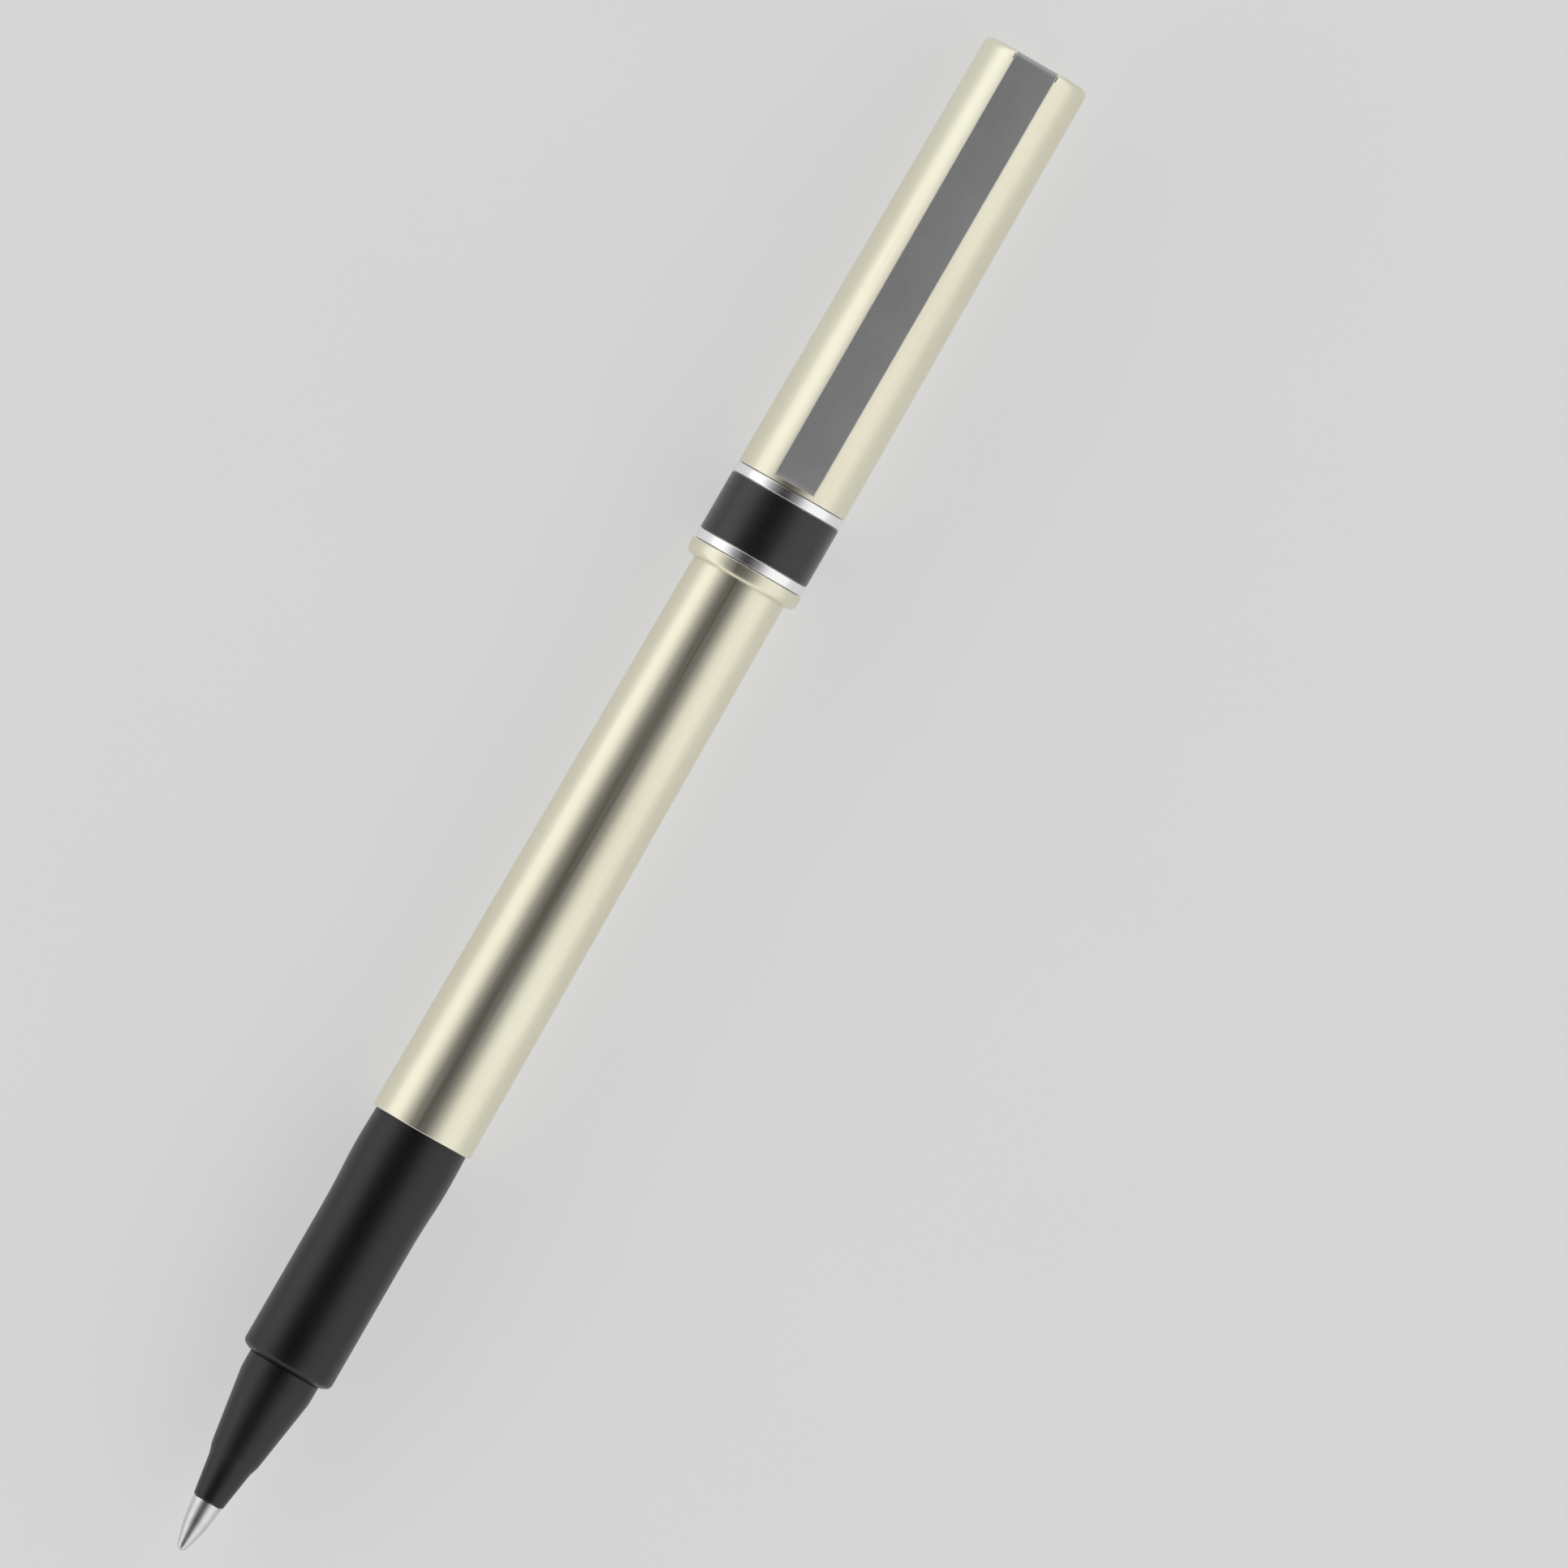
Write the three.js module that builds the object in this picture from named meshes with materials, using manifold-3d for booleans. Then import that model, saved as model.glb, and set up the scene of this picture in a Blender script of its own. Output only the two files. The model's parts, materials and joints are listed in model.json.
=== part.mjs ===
// Liquid-ink rollerball pen with its cap pushed onto the tail of the barrel.
//
// Millimetres, +Z up. The pen lies on a table with its clip on top. The writing tip points along -X and
// the closed end of the cap along +X. The origin is on the table under the middle of the pen.
//
// Most pieces are turned about the pen's axis. Each has an outline of [station, radius] corners, where a
// station is the distance along the pen from the end of the tip.
import * as THREE from "three";
import { mergeVertices } from "three/addons/utils/BufferGeometryUtils.js";
import Module from "manifold-3d";

// Stations that the pieces share
const PEN_LENGTH = 158.2;
const CONE_FRONT = 5.2;
const CONE_COLLAR = 17.45;
const GRIP_FRONT = 19.35;
const BARREL_FRONT = 44.5;
const SPIGOT_BACK = 54;
const BARREL_BACK = 128.4;
const TAIL_END = 130;
const CAP_MOUTH = 103.1;
const BAND_FRONT = 105.7;
const BAND_BACK = 111.65;
const CAP_RIM = PEN_LENGTH;

// Tip and feed
const BALL_RADIUS = 0.35;
const SOCKET_RADIUS = 0.37;
const SHANK_BACK = 9;
const SHANK_RADIUS = 1.1;
const RELAY_FRONT = 0.8;
const RELAY_BACK = 6.3;
const RELAY_RADIUS = 0.25;
const ROD_FRONT = 6.6;
const ROD_BACK = 58;
const ROD_RADIUS = 0.6;
const ROD_BORE = 0.75;
const NOSE_RADIUS = 1.53;
const NOSE_CAVITY_RADIUS = 2.5;
const COLLAR_RADIUS = 3.6;
const CORE_RADIUS = 3.2;
const COLLECTOR_FRONT = 23.5;
const COLLECTOR_BACK = 50;
const FIN_FRONT = 24.3;
const FIN_ROOT = 2.2;
const FIN_COUNT = 17;
const FIN_PITCH = 1.5;
const FIN_WIDTH = 0.7;

// Grip, barrel and ink tank
const GRIP_RADIUS = 4.6;
const GRIP_SWELL_RADIUS = 4.81;
const GRIP_BACK_RADIUS = 4.71;
const GRIP_BORE = 3.3;
const SPIGOT_RADIUS = 4;
const BARREL_FRONT_RADIUS = 5.15;
const BARREL_BACK_RADIUS = 4.6;
const BARREL_WALL = 0.4;
const TANK_FRONT = 46.3;
const TANK_BACK = 124.5;
const TANK_WALL = 0.5;
const TANK_END_WALL = 1;
const INK_FRONT = 55.3;
const INK_BACK = 115;
const TAIL_SPIGOT_FRONT = 125;
const TAIL_SPIGOT_RADIUS = 4.1;

// Cap
const LIP_RADIUS = 5.75;
const TRIM_RING_RADIUS = 5.68;
const TRIM_RING_WIDTH = 1;
const BAND_RADIUS = 5.62;
const CAP_SHOULDER_RADIUS = 5.6;
const CAP_RIM_RADIUS = 5.35;
const CAP_RIM_CURL = 0.8;
const CAP_WALL = 0.35;
const NECK_RADIUS = 5.2;
const NECK_BORE = 4.95;
const TRIM_BORE = 5.27;
const SLEEVE_BACK = 129.5;
const SLEEVE_RADIUS = 5.08;
const SLEEVE_BORE = 4.78;
const INNER_CAP_FRONT = 130.3;
const INNER_CAP_BACK = 151.5;
const INNER_CAP_RADIUS = 4.95;
const INNER_CAP_BORE = 3.5;
const RETAINER_FRONT = 152.4;
const RETAINER_BACK = 155.4;
const RETAINER_RADIUS = 4.9;
const PLUG_FRONT = 155.8;
const PLUG_BACK = 158;
const PLUG_RADIUS = 4.48;

// Clip. Heights are those of the middle of the strip above the pen's axis.
const CLIP_WIDTH = 4.36;
const CLIP_TIP_WIDTH = 4.2;
const CLIP_THICKNESS = 0.45;
const CLIP_BEND = 0.35;
const CLIP_HEIGHT = 6.1;
const CLIP_CONTACT_HEIGHT = 5.9;
const CLIP_TIP_HEIGHT = 6.45;
const CLIP_TIP = 113.15;
const CLIP_SPLIT = 156;
const CLIP_END = 158.1;
const TAB_HEIGHT = 2;
const TAB_FRONT = 153;
const SLOT_WIDTH = 4.56;
const NOTCH_FRONT = 157.35;

// Clearances between pieces, and the reach of a cut past the outside of a piece
const FIT = 0.06;
const SEAT = 0.05;
const SPLIT_GAP = 0.3;
const BEYOND = 2;

// Sides of turned pieces
const SIDES = 32;
const SMALL_SIDES = 20;

const CAP_SHOULDER = BAND_BACK + SEAT + TRIM_RING_WIDTH + SEAT;
const FERRULE_BACK = BAND_FRONT - SEAT - TRIM_RING_WIDTH - SEAT;

const wasm = await Module();
wasm.setup();

const FINISHES = {
  champagne: { color: 0xe6dfc4, roughness: 0.32, metalness: 1 },
  chrome: { color: 0xe8e8ea, roughness: 0.08, metalness: 1 },
  steel: { color: 0xc4c4c6, roughness: 0.25, metalness: 1 },
  clip_steel: { color: 0x757577, roughness: 0.55, metalness: 0.8 },
  black_plastic: { color: 0x1b1b1c, roughness: 0.4, metalness: 0 },
  clear_plastic: { color: 0xd8dcdc, roughness: 0.2, metalness: 0 },
  white_plastic: { color: 0xe4e4de, roughness: 0.5, metalness: 0 },
  fibre: { color: 0xcfc9b8, roughness: 0.9, metalness: 0 },
  ink: { color: 0x10131c, roughness: 0.1, metalness: 0 },
};

const pen = new THREE.Group();
pen.position.set(-PEN_LENGTH / 2, 0, LIP_RADIUS);

function addPiece(name, geometry, finish) {
  const piece = new THREE.Mesh(geometry, new THREE.MeshStandardMaterial(FINISHES[finish]));
  piece.name = name;
  pen.add(piece);
}

// Points of an arc in an outline. 0 degrees points along the pen and 90 degrees away from its axis.
function arc(station, radius, bend, from, to, steps = 4) {
  return Array.from({ length: steps + 1 }, (_, i) => {
    const angle = THREE.MathUtils.degToRad(from + ((to - from) * i) / steps);
    return [station + bend * Math.cos(angle), radius + bend * Math.sin(angle)];
  });
}

// A solid turned from a closed outline, which runs round it in either direction. Its flats touch the
// true radius, with one of them underneath, so that the pen lies on a flat and not on an edge.
function turned(outline, sides = SIDES) {
  const stretch = 1 / Math.cos(Math.PI / sides);
  const points = outline.map(([station, radius]) => new THREE.Vector2(radius * stretch, station));
  if (THREE.ShapeUtils.isClockWise(points)) points.reverse();
  const startsOnAxis = points[0].x === 0;
  if (!startsOnAxis) points.push(points[0].clone());
  const geometry = new THREE.LatheGeometry(points, sides, Math.PI / sides);
  geometry.rotateZ(-Math.PI / 2);
  return geometry;
}

// Radius of the barrel's outside at a station
function barrelRadius(station) {
  const share = (station - BARREL_FRONT) / (BARREL_BACK - BARREL_FRONT);
  return THREE.MathUtils.lerp(BARREL_FRONT_RADIUS, BARREL_BACK_RADIUS, share);
}

// A strip of constant thickness along a line of [station, height] points, as wide as the clip
function strip(line) {
  const path = line.map(([station, height]) => new THREE.Vector2(station, height));
  const sideAt = (i) => {
    const before = path[Math.max(i - 1, 0)];
    const after = path[Math.min(i + 1, path.length - 1)];
    const along = after.clone().sub(before).normalize();
    return new THREE.Vector2(-along.y, along.x).multiplyScalar(CLIP_THICKNESS / 2);
  };
  const left = path.map((point, i) => point.clone().add(sideAt(i)));
  const right = path.map((point, i) => point.clone().sub(sideAt(i)));
  const shape = new THREE.Shape([...left, ...right.reverse()]);
  const geometry = new THREE.ExtrudeGeometry(shape, { depth: CLIP_WIDTH, bevelEnabled: false });
  geometry.translate(0, 0, -CLIP_WIDTH / 2);
  geometry.rotateX(Math.PI / 2);
  return geometry;
}

function toSolid(geometry) {
  const bare = geometry.clone();
  bare.deleteAttribute("normal");
  bare.deleteAttribute("uv");
  const merged = mergeVertices(bare);
  const mesh = new wasm.Mesh({
    numProp: 3,
    vertProperties: merged.getAttribute("position").array,
    triVerts: new Uint32Array(merged.getIndex().array),
  });
  return new wasm.Manifold(mesh);
}

// A geometry with box-shaped cuts. Each box has its lowest and highest corner.
function cutBoxes(geometry, boxes) {
  let solid = toSolid(geometry);
  for (const [low, high] of boxes) {
    const size = high.map((value, i) => value - low[i]);
    const box = new THREE.BoxGeometry(...size);
    box.translate(...low.map((value, i) => value + size[i] / 2));
    solid = solid.subtract(toSolid(box));
  }
  const mesh = solid.getMesh();
  const result = new THREE.BufferGeometry();
  result.setAttribute("position", new THREE.BufferAttribute(mesh.vertProperties, 3));
  result.setIndex(new THREE.BufferAttribute(mesh.triVerts, 1));
  result.computeVertexNormals();
  return result;
}

// A box-shaped cut as wide as the clip's slot. It runs out past the end of the cap.
function slotFrom(station, low, high) {
  return [
    [station, -SLOT_WIDTH / 2, low],
    [PEN_LENGTH + BEYOND, SLOT_WIDTH / 2, high],
  ];
}

// Writing ball, free to roll in the socket of the steel point
function addBall() {
  const geometry = new THREE.SphereGeometry(BALL_RADIUS, 16, 12);
  geometry.translate(BALL_RADIUS, 0, 0);
  addPiece("tip_ball", geometry, "steel");
}

// Steel point: a rounded cone with the ball's socket in front and a shank that sits in the nose cone
function addPoint() {
  const shank = [
    [SHANK_BACK, SHANK_RADIUS],
    [SHANK_BACK, ROD_RADIUS + FIT],
    [ROD_FRONT - SEAT, ROD_RADIUS + FIT],
    [ROD_FRONT - SEAT, RELAY_RADIUS + FIT],
    [2 * BALL_RADIUS, RELAY_RADIUS + FIT],
  ];
  const socket = arc(BALL_RADIUS, 0, SOCKET_RADIUS, 45, 113, 5);
  const cone = [
    [0.2, 0.41],
    [0.45, 0.52],
    [0.9, 0.66],
    [1.7, 0.88],
    [2.7, 1.18],
    [CONE_FRONT - SEAT, NOSE_RADIUS - SEAT],
    [CONE_FRONT - SEAT, SHANK_RADIUS],
  ];
  addPiece("tip_point", turned([...shank, ...socket, ...cone], SMALL_SIDES), "steel");
}

// Thin fibre that hands the ink from the feed rod to the ball
function addRelay() {
  const outline = [
    [RELAY_FRONT, 0],
    [RELAY_FRONT, RELAY_RADIUS],
    [RELAY_BACK, RELAY_RADIUS],
    [RELAY_BACK, 0],
  ];
  addPiece("tip_relay", turned(outline, SMALL_SIDES), "fibre");
}

function addFeedRod() {
  const outline = [
    [ROD_FRONT, 0],
    [ROD_FRONT, ROD_RADIUS],
    [ROD_BACK, ROD_RADIUS],
    [ROD_BACK, 0],
  ];
  addPiece("feed_rod", turned(outline, SMALL_SIDES), "fibre");
}

// Nose cone: a slim front with a small step, a long cone, and a collar that meets the grip
function addNoseCone() {
  const outside = [
    [CONE_FRONT, SHANK_RADIUS + FIT],
    [CONE_FRONT, NOSE_RADIUS],
    [9.2, 2.19],
    [10.1, 2.45],
    [CONE_COLLAR, 3.55],
    [CONE_COLLAR + SEAT, COLLAR_RADIUS],
    [GRIP_FRONT - SEAT, COLLAR_RADIUS],
    [GRIP_FRONT - SEAT, CORE_RADIUS],
    [COLLECTOR_FRONT - SEAT, CORE_RADIUS],
  ];
  const inside = [
    [COLLECTOR_FRONT - SEAT, NOSE_CAVITY_RADIUS],
    [18, NOSE_CAVITY_RADIUS],
    [16, ROD_BORE],
    [SHANK_BACK + SEAT, ROD_BORE],
    [SHANK_BACK + SEAT, SHANK_RADIUS + FIT],
  ];
  addPiece("nose_cone", turned([...outside, ...inside]), "black_plastic");
}

// Collector: a stack of thin fins that holds ink back when the air in the tank grows
function addCollector() {
  const fins = [];
  for (let i = 0; i < FIN_COUNT; i += 1) {
    const front = FIN_FRONT + i * FIN_PITCH;
    fins.push([front, FIN_ROOT], [front, CORE_RADIUS]);
    fins.push([front + FIN_WIDTH, CORE_RADIUS], [front + FIN_WIDTH, FIN_ROOT]);
  }
  const outline = [
    [COLLECTOR_BACK, ROD_BORE],
    [COLLECTOR_FRONT, ROD_BORE],
    [COLLECTOR_FRONT, FIN_ROOT],
    ...fins,
    [COLLECTOR_BACK, FIN_ROOT],
  ];
  addPiece("collector", turned(outline, SMALL_SIDES), "white_plastic");
}

// Holder that closes the grip's spigot and carries the back of the feed rod
function addFeedHolder() {
  const outline = [
    [INK_FRONT - SEAT, ROD_BORE],
    [COLLECTOR_BACK + SEAT, ROD_BORE],
    [COLLECTOR_BACK + SEAT, CORE_RADIUS],
    [SPIGOT_BACK + SEAT, CORE_RADIUS],
    [SPIGOT_BACK + SEAT, SPIGOT_RADIUS],
    [INK_FRONT - SEAT, SPIGOT_RADIUS],
  ];
  addPiece("feed_holder", turned(outline), "white_plastic");
}

// Grip: straight in front, with a soft swell just before the barrel
function addGrip() {
  const shoulder = 0.9;
  const outline = [
    [GRIP_FRONT, GRIP_BORE],
    ...arc(GRIP_FRONT + shoulder, GRIP_RADIUS - shoulder, shoulder, 180, 90),
    [35, GRIP_RADIUS],
    [38, (GRIP_RADIUS + GRIP_SWELL_RADIUS) / 2],
    [40.5, GRIP_SWELL_RADIUS],
    [BARREL_FRONT, GRIP_BACK_RADIUS],
    [TANK_FRONT - SEAT, GRIP_BACK_RADIUS],
    [TANK_FRONT - SEAT, SPIGOT_RADIUS],
    [SPIGOT_BACK, SPIGOT_RADIUS],
    [SPIGOT_BACK, GRIP_BORE],
  ];
  addPiece("grip_section", turned(outline), "black_plastic");
}

function addBarrel() {
  const edge = 0.2;
  const frontBore = BARREL_FRONT_RADIUS - BARREL_WALL + SEAT;
  const outline = [
    [BARREL_BACK, BARREL_BACK_RADIUS - BARREL_WALL],
    [TANK_FRONT, frontBore],
    [BARREL_FRONT, frontBore],
    ...arc(BARREL_FRONT + edge, BARREL_FRONT_RADIUS - edge, edge, 180, 90, 2),
    [BARREL_BACK, BARREL_BACK_RADIUS],
  ];
  addPiece("barrel_tube", turned(outline), "champagne");
}

// Tank that fills the barrel, closed at the back, with its mouth over the grip's spigot
function addTank() {
  const outside = (station) => barrelRadius(station) - BARREL_WALL - FIT;
  const inside = (station) => outside(station) - TANK_WALL;
  const floor = TANK_BACK - TANK_END_WALL;
  const outline = [
    [floor, 0],
    [floor, inside(floor)],
    [TANK_FRONT, inside(TANK_FRONT)],
    [TANK_FRONT, outside(TANK_FRONT)],
    [TANK_BACK, outside(TANK_BACK)],
    [TANK_BACK, 0],
  ];
  addPiece("ink_tank", turned(outline), "clear_plastic");
}

// Ink behind the feed holder, with a pocket for the end of the feed rod
function addInk() {
  const radiusAt = (station) => barrelRadius(station) - BARREL_WALL - TANK_WALL - 2 * FIT;
  const pocket = ROD_BACK + 0.2;
  const outline = [
    [pocket, 0],
    [pocket, ROD_BORE],
    [INK_FRONT, ROD_BORE],
    [INK_FRONT, radiusAt(INK_FRONT)],
    [INK_BACK, radiusAt(INK_BACK)],
    [INK_BACK, 0],
  ];
  addPiece("ink_charge", turned(outline), "ink");
}

// Plug that closes the tail, with a hollow spigot inside the barrel
function addTailPlug() {
  const edge = 0.6;
  const flange = BARREL_BACK + SEAT;
  const hollowRadius = 2.8;
  const hollowBack = 127;
  const outline = [
    [hollowBack, 0],
    [hollowBack, hollowRadius],
    [TAIL_SPIGOT_FRONT, hollowRadius],
    [TAIL_SPIGOT_FRONT, TAIL_SPIGOT_RADIUS],
    [flange, TAIL_SPIGOT_RADIUS],
    [flange, BARREL_BACK_RADIUS],
    ...arc(TAIL_END - edge, BARREL_BACK_RADIUS - edge, edge, 90, 0),
    [TAIL_END, 0],
  ];
  addPiece("tail_plug", turned(outline), "black_plastic");
}

// Cap tube, necked at the mouth for the trim rings, curled in at the rim and notched there for the clip
function addCapTube() {
  const curlStart = CAP_RIM - CAP_RIM_CURL;
  const curlRadius = CAP_RIM_RADIUS - CAP_RIM_CURL;
  const neckFront = CAP_MOUTH + 0.55;
  const boreStart = CAP_SHOULDER + 0.4;
  const outline = [
    [CAP_RIM, curlRadius],
    [curlStart, curlRadius + CAP_RIM_CURL / 2],
    [boreStart, CAP_SHOULDER_RADIUS - CAP_WALL],
    [boreStart, NECK_BORE],
    [neckFront, NECK_BORE],
    [neckFront, NECK_RADIUS],
    [CAP_SHOULDER, NECK_RADIUS],
    [CAP_SHOULDER, CAP_SHOULDER_RADIUS],
    ...arc(curlStart, curlRadius, CAP_RIM_CURL, 90, 0),
  ];
  const notch = slotFrom(NOTCH_FRONT, 0, LIP_RADIUS + BEYOND);
  addPiece("cap_tube", cutBoxes(turned(outline), [notch]), "champagne");
}

// Rings that sit on the cap's neck: two bright trim rings and the black band between them
function addCapTrim() {
  const edge = 0.1;
  const rings = [
    ["upper_trim_ring", BAND_BACK + SEAT, CAP_SHOULDER - SEAT, TRIM_RING_RADIUS, "chrome"],
    ["black_band", BAND_FRONT, BAND_BACK, BAND_RADIUS, "black_plastic"],
    ["lower_trim_ring", FERRULE_BACK + SEAT, BAND_FRONT - SEAT, TRIM_RING_RADIUS, "chrome"],
  ];
  for (const [name, front, back, radius, finish] of rings) {
    const outline = [
      [back, TRIM_BORE],
      [front, TRIM_BORE],
      ...arc(front + edge, radius - edge, edge, 180, 90, 1),
      ...arc(back - edge, radius - edge, edge, 90, 0, 1),
    ];
    addPiece(name, turned(outline), finish);
  }
}

// Round lip at the mouth of the cap
function addFerrule() {
  const edge = 0.75;
  const step = CAP_MOUTH + 0.5;
  const outline = [
    [FERRULE_BACK, TRIM_BORE],
    [step, TRIM_BORE],
    [step, NECK_BORE],
    [CAP_MOUTH, NECK_BORE],
    ...arc(CAP_MOUTH + edge, LIP_RADIUS - edge, edge, 180, 90),
    [FERRULE_BACK, LIP_RADIUS],
  ];
  addPiece("mouth_ferrule", turned(outline), "champagne");
}

// Sleeve inside the cap that grips the tail when the cap is posted, and the grip when it is closed
function addSleeve() {
  const front = CAP_SHOULDER + 0.7;
  const outline = [
    [SLEEVE_BACK, SLEEVE_BORE],
    [front, SLEEVE_BORE],
    [front, SLEEVE_RADIUS],
    [SLEEVE_BACK, SLEEVE_RADIUS],
  ];
  addPiece("friction_sleeve", turned(outline), "black_plastic");
}

// Inner cap: a closed chamber that seals round the nose cone when the pen is capped
function addInnerCap() {
  const flare = 0.6;
  const floor = INNER_CAP_BACK - 1;
  const outline = [
    [floor, 0],
    [floor, INNER_CAP_BORE],
    [INNER_CAP_FRONT + flare, INNER_CAP_BORE],
    [INNER_CAP_FRONT, INNER_CAP_BORE + flare],
    [INNER_CAP_FRONT, INNER_CAP_RADIUS],
    [INNER_CAP_BACK, INNER_CAP_RADIUS],
    [INNER_CAP_BACK, 0],
  ];
  addPiece("inner_cap", turned(outline), "white_plastic");
}

// Plug and retainer in the closed end of the cap, both slotted for the tab of the clip
function addCapEnd() {
  const room = 0.5;
  const tabSlot = slotFrom(RETAINER_FRONT - BEYOND, TAB_HEIGHT - room, TAB_HEIGHT + room);
  const legSlot = slotFrom(NOTCH_FRONT, TAB_HEIGHT - room, LIP_RADIUS + BEYOND);
  const disc = (front, back, radius) => [
    [front, 0],
    [front, radius],
    [back, radius],
    [back, 0],
  ];
  const plug = turned(disc(PLUG_FRONT, PLUG_BACK, PLUG_RADIUS));
  const retainer = turned(disc(RETAINER_FRONT, RETAINER_BACK, RETAINER_RADIUS));
  addPiece("cap_top_plug", cutBoxes(plug, [tabSlot, legSlot]), "champagne");
  addPiece("clip_retainer", cutBoxes(retainer, [tabSlot]), "black_plastic");
}

// Arm of the spring clip: straight, then a shallow dip that touches the cap, then a lifted tip. It
// narrows a little towards the tip, and flexes from the bend at the end of the cap.
function addClipArm() {
  const arm = strip([
    [CLIP_SPLIT - SPLIT_GAP, CLIP_HEIGHT],
    [124, CLIP_HEIGHT],
    [118, CLIP_CONTACT_HEIGHT],
    [116.5, CLIP_CONTACT_HEIGHT],
    [CLIP_TIP, CLIP_TIP_HEIGHT],
  ]);
  const spots = arm.getAttribute("position");
  for (let i = 0; i < spots.count; i += 1) {
    const share = (spots.getX(i) - CLIP_TIP) / (CLIP_SPLIT - CLIP_TIP);
    const width = THREE.MathUtils.lerp(CLIP_TIP_WIDTH, CLIP_WIDTH, share);
    spots.setY(i, (spots.getY(i) * width) / CLIP_WIDTH);
  }
  arm.computeVertexNormals();
  addPiece("clip_arm", arm, "clip_steel");
}

// Root of the spring clip, which doesn't move: it is folded over the rim of the cap and through the plug
function addClipRoot() {
  const bend = CLIP_END - CLIP_THICKNESS / 2 - CLIP_BEND;
  const root = strip([
    [CLIP_SPLIT, CLIP_HEIGHT],
    ...arc(bend, CLIP_HEIGHT - CLIP_BEND, CLIP_BEND, 90, 0),
    ...arc(bend, TAB_HEIGHT + CLIP_BEND, CLIP_BEND, 0, -90),
    [TAB_FRONT, TAB_HEIGHT],
  ]);
  addPiece("clip_root", root, "clip_steel");
}

addBall();
addPoint();
addRelay();
addFeedRod();
addNoseCone();
addCollector();
addFeedHolder();
addGrip();
addBarrel();
addTank();
addInk();
addTailPlug();
addCapTube();
addCapTrim();
addFerrule();
addSleeve();
addInnerCap();
addCapEnd();
addClipArm();
addClipRoot();

export default pen;
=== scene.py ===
"""A liquid-ink rollerball pen with its cap posted on the tail, lying on a pale table, clip upwards.

Every piece is a fine surface around its CAD node. The boxes of the nodes give its place and size, and
the named lengths below give what a box doesn't hold. All lengths are metres.
"""
import json
import math
import bmesh
import bpy
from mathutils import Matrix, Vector


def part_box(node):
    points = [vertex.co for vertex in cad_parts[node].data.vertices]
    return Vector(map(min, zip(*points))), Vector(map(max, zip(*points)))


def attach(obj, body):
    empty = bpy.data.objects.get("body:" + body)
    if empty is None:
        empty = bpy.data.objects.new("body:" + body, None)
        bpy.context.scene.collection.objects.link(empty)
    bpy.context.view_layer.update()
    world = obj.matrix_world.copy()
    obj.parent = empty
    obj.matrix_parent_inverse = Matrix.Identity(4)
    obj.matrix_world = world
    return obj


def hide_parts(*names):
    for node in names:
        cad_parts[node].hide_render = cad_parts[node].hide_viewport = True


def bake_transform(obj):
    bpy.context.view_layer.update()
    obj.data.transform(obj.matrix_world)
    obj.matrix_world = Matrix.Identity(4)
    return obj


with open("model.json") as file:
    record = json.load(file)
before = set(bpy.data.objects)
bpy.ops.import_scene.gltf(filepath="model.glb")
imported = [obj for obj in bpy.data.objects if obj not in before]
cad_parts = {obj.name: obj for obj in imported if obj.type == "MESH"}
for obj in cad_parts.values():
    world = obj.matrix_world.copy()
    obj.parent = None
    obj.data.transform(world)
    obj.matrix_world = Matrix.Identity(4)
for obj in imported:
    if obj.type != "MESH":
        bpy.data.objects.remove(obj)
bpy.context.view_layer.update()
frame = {"record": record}

MM = 0.001
SIDES = 160
SMALL_SIDES = 80

# Roundings of edges, and how far a bend's support lines stand from it
SHARP = 0.03 * MM
EDGE = 0.08 * MM
SOFT = 0.2 * MM
SWEEP = 80 * MM
SUPPORT = 0.1 * MM

# Shares of a line that the bends at its two ends take at most, and that a support line takes at most
ROOM_SHARE = 0.95
SUPPORT_SHARE = 0.02

# Steps of a bend that is tighter than SOFT, and of any other bend
TIGHT_STEPS = 4
WIDE_STEPS = 10

# Turns of an outline, in degrees, at which wear starts and over which it grows to its most
WEAR_START = 25
WEAR_GROWTH = 40

# Angles between faces, in degrees, from which an edge is drawn sharp
SHARP_ANGLE = 40
CUT_SHARP_ANGLE = 30

# Values of a noise between which most of its surface lies
NOISE_LOW = 0.3
NOISE_HIGH = 0.7

# Clearances between pieces
FIT = 0.06 * MM
SEAT = 0.05 * MM
SOCKET_GAP = 0.02 * MM

# Tip and feed
NOSE_RADIUS = 1.53 * MM
STEP_FRONT_RADIUS = 2.15 * MM
STEP_BACK_RADIUS = 2.45 * MM
NOSE_CAVITY_RADIUS = 2.5 * MM
SHANK_RADIUS = 1.1 * MM
ROD_BORE = 0.75 * MM
FIN_ROOT = 2.2 * MM
FIN_SETBACK = 0.8 * MM
FIN_PITCH = 1.5 * MM
FIN_WIDTH = 0.7 * MM

# Grip, barrel and tank
GRIP_FACE_RADIUS = 3.8 * MM
GRIP_RADIUS = 4.6 * MM
GRIP_BACK_RADIUS = 4.74 * MM
GRIP_BORE = 3.3 * MM
SPIGOT_RADIUS = 4 * MM
BARREL_WALL = 0.4 * MM
TANK_WALL = 0.5 * MM
FLOOR_WALL = 1 * MM
TAIL_SPIGOT_RADIUS = 4.1 * MM
TAIL_HOLLOW_RADIUS = 2.8 * MM

# Cap
CAP_WALL = 0.35 * MM
CAP_RIM_RADIUS = 5.35 * MM
CAP_RIM_CURL = 0.8 * MM
NECK_RADIUS = 5.2 * MM
NECK_BORE = 4.95 * MM
TRIM_BORE = 5.27 * MM
SLEEVE_BORE = 4.78 * MM
INNER_CAP_BORE = 3.5 * MM
SLOT_HALF = 2.28 * MM
BEYOND = 2 * MM

# Clip
CLIP_THICKNESS = 0.45 * MM
CLIP_TIP_WIDTH = 4.2 * MM
CLIP_EDGE = 0.09 * MM

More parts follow.
